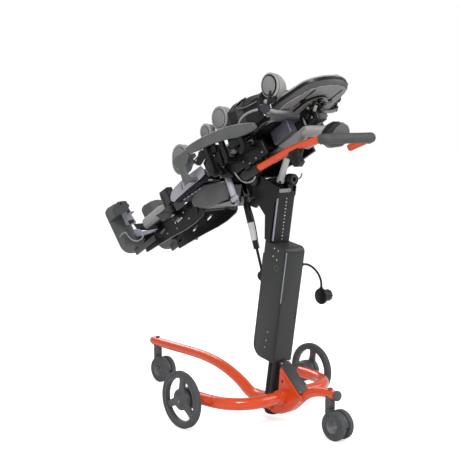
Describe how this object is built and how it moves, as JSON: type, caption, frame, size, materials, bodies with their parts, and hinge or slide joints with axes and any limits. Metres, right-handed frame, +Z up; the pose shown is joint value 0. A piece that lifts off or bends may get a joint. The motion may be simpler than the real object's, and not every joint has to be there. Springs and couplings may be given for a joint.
{
  "type": "standing frame",
  "caption": "Wheeled standing frame: height-adjusted leaning column on an orange cross base, tilting body support with hip, chest, head, calf and foot pads and a rear push bar.",
  "frame": {"origin": "on the floor, at the middle of the base in plan, in the plane that the two halves mirror about", "axes": "+X towards the side of the right wheel, +Y towards the foot supports, +Z up"},
  "size_m": [0.666, 1.2417, 1.2082],
  "materials": {
    "frame_orange": "glossy orange-red powder coat",
    "black_metal": "satin black powder coat",
    "dark_metal": "satin dark grey powder coat",
    "bright_steel": "ground, satin",
    "black_plastic": "fine-grained moulding",
    "grey_plastic": "fine-grained moulding",
    "pale_plastic": "fine-grained moulding",
    "wheel_grey": "worn matt tread on a grey moulding",
    "fabric_grey": "woven upholstery over foam",
    "strap_grey": "woven webbing",
    "cord_black": "smooth cable jacket"
  },
  "bodies": {
    "base": {"base_hub": "frame_orange", "hub_plate": "frame_orange", "front_leg": "frame_orange", "rear_leg": "frame_orange", "left_leg": "frame_orange", "right_leg": "frame_orange", "front_caster_stem": "black_plastic", "rear_caster_stem": "black_plastic", "mast": "black_metal", "column_outer": "dark_metal", "lift_screw": "bright_steel", "housing_shell": "black_plastic", "housing_back": "black_plastic", "charging_lead": "cord_black", "charging_plug": "black_plastic"},
    "left_wheel_body": {"left_wheel": "wheel_grey"},
    "right_wheel_body": {"right_wheel": "wheel_grey"},
    "front_swivel": {"front_caster_fork": "black_plastic"},
    "front_rollers": {"front_caster_wheels": "wheel_grey"},
    "rear_swivel": {"rear_caster_fork": "black_plastic"},
    "rear_rollers": {"rear_caster_wheels": "wheel_grey"},
    "lift": {"column_inner": "dark_metal", "column_head": "black_metal", "tilt_axle": "bright_steel"},
    "lock": {"lock_lever": "pale_plastic"},
    "spring_rod": {"gas_spring_rod": "bright_steel"},
    "spring_cylinder": {"gas_spring_cylinder": "black_metal"},
    "support": {"spine_beam": "black_metal", "rear_cover": "pale_plastic", "control_box": "grey_plastic", "left_side_rail": "grey_plastic", "right_side_rail": "grey_plastic", "left_chest_pad": "fabric_grey", "right_chest_pad": "fabric_grey", "left_waist_pad": "fabric_grey", "right_waist_pad": "fabric_grey", "trunk_cushion": "fabric_grey", "chest_belt": "strap_grey", "seat_shell": "grey_plastic", "left_hip_pad": "fabric_grey", "right_hip_pad": "fabric_grey", "thigh_cushion": "fabric_grey"},
    "back": {"back_shell": "dark_metal", "back_cushion": "fabric_grey"},
    "left_head": {"left_head_arm": "black_metal", "left_head_pad": "fabric_grey"},
    "right_head": {"right_head_arm": "black_metal", "right_head_pad": "fabric_grey"},
    "left_lower_leg": {"left_leg_plate": "black_metal", "left_calf_pad": "fabric_grey"},
    "right_lower_leg": {"right_leg_plate": "black_metal", "right_calf_pad": "fabric_grey"},
    "left_foot": {"left_foot_plate": "dark_metal", "left_foot_strap": "strap_grey"},
    "right_foot": {"right_foot_plate": "dark_metal", "right_foot_strap": "strap_grey"},
    "bar": {"push_bar": "frame_orange", "push_grip": "black_plastic", "hand_control": "black_plastic", "spring_release": "black_plastic"}
  },
  "joints": [
    {"name": "left_wheel_spin", "type": "hinge", "parent": "base", "child": "left_wheel_body", "pos_m": [-0.318, 0.108, 0.1], "axis": [1, 0, 0], "continuous": true},
    {"name": "right_wheel_spin", "type": "hinge", "parent": "base", "child": "right_wheel_body", "pos_m": [0.318, 0.108, 0.1], "axis": [1, 0, 0], "continuous": true},
    {"name": "front_caster_swivel", "type": "hinge", "parent": "base", "child": "front_swivel", "pos_m": [0, 0.668, 0.1], "axis": [0, 0, 1], "continuous": true},
    {"name": "front_caster_roll", "type": "hinge", "parent": "front_swivel", "child": "front_rollers", "pos_m": [0, 0.632, 0.05], "axis": [1, 0, 0], "continuous": true},
    {"name": "rear_caster_swivel", "type": "hinge", "parent": "base", "child": "rear_swivel", "pos_m": [0, -0.293, 0.1], "axis": [0, 0, 1], "continuous": true},
    {"name": "rear_caster_roll", "type": "hinge", "parent": "rear_swivel", "child": "rear_rollers", "pos_m": [0, -0.329, 0.05], "axis": [1, 0, 0], "continuous": true},
    {"name": "column_lift", "type": "slide", "parent": "base", "child": "lift", "axis": [0, -0.1616, 0.9869], "range_m": [0, 0.24]},
    {"name": "lock_turn", "type": "hinge", "parent": "lift", "child": "lock", "pos_m": [-0.013, -0.068, 0.845], "axis": [1, 0, 0], "range_deg": [0, 35]},
    {"name": "support_tilt", "type": "hinge", "parent": "lift", "child": "support", "pos_m": [0, 0.038, 0.848], "axis": [-1, 0, 0], "range_deg": [0, 50]},
    {"name": "spring_swing", "type": "hinge", "parent": "lift", "child": "spring_rod", "pos_m": [0, 0.04, 0.506], "axis": [1, 0, 0], "range_deg": [-1, 18]},
    {"name": "spring_stroke", "type": "slide", "parent": "spring_rod", "child": "spring_cylinder", "axis": [0, 0.3377, 0.9413], "range_m": [-0.076, 0.002]},
    {"name": "back_slide", "type": "slide", "parent": "support", "child": "back", "axis": [0, -0.866, 0.5], "range_m": [-0.018, 0.04]},
    {"name": "left_head_slide", "type": "slide", "parent": "back", "child": "left_head", "axis": [-1, 0, 0], "range_m": [0, 0.03]},
    {"name": "right_head_slide", "type": "slide", "parent": "back", "child": "right_head", "axis": [1, 0, 0], "range_m": [0, 0.03]},
    {"name": "left_knee", "type": "hinge", "parent": "support", "child": "left_lower_leg", "pos_m": [0, 0.31281, 0.72398], "axis": [1, 0, 0], "range_deg": [-8, 6]},
    {"name": "right_knee", "type": "hinge", "parent": "support", "child": "right_lower_leg", "pos_m": [0, 0.31281, 0.72398], "axis": [1, 0, 0], "range_deg": [-8, 6]},
    {"name": "left_foot_slide", "type": "slide", "parent": "left_lower_leg", "child": "left_foot", "axis": [0, -0.866, 0.5], "range_m": [-0.05, 0.009]},
    {"name": "right_foot_slide", "type": "slide", "parent": "right_lower_leg", "child": "right_foot", "axis": [0, -0.866, 0.5], "range_m": [-0.05, 0.009]},
    {"name": "push_bar_slide", "type": "slide", "parent": "support", "child": "bar", "axis": [0, -0.9205, 0.3907], "range_m": [-0.008, 0.03]}
  ],
  "couplings": [
    {"joint": "spring_swing", "follows": "support_tilt", "ratio": 0.3183},
    {"joint": "spring_stroke", "follows": "support_tilt", "m_per_rad": -0.08284}
  ]
}
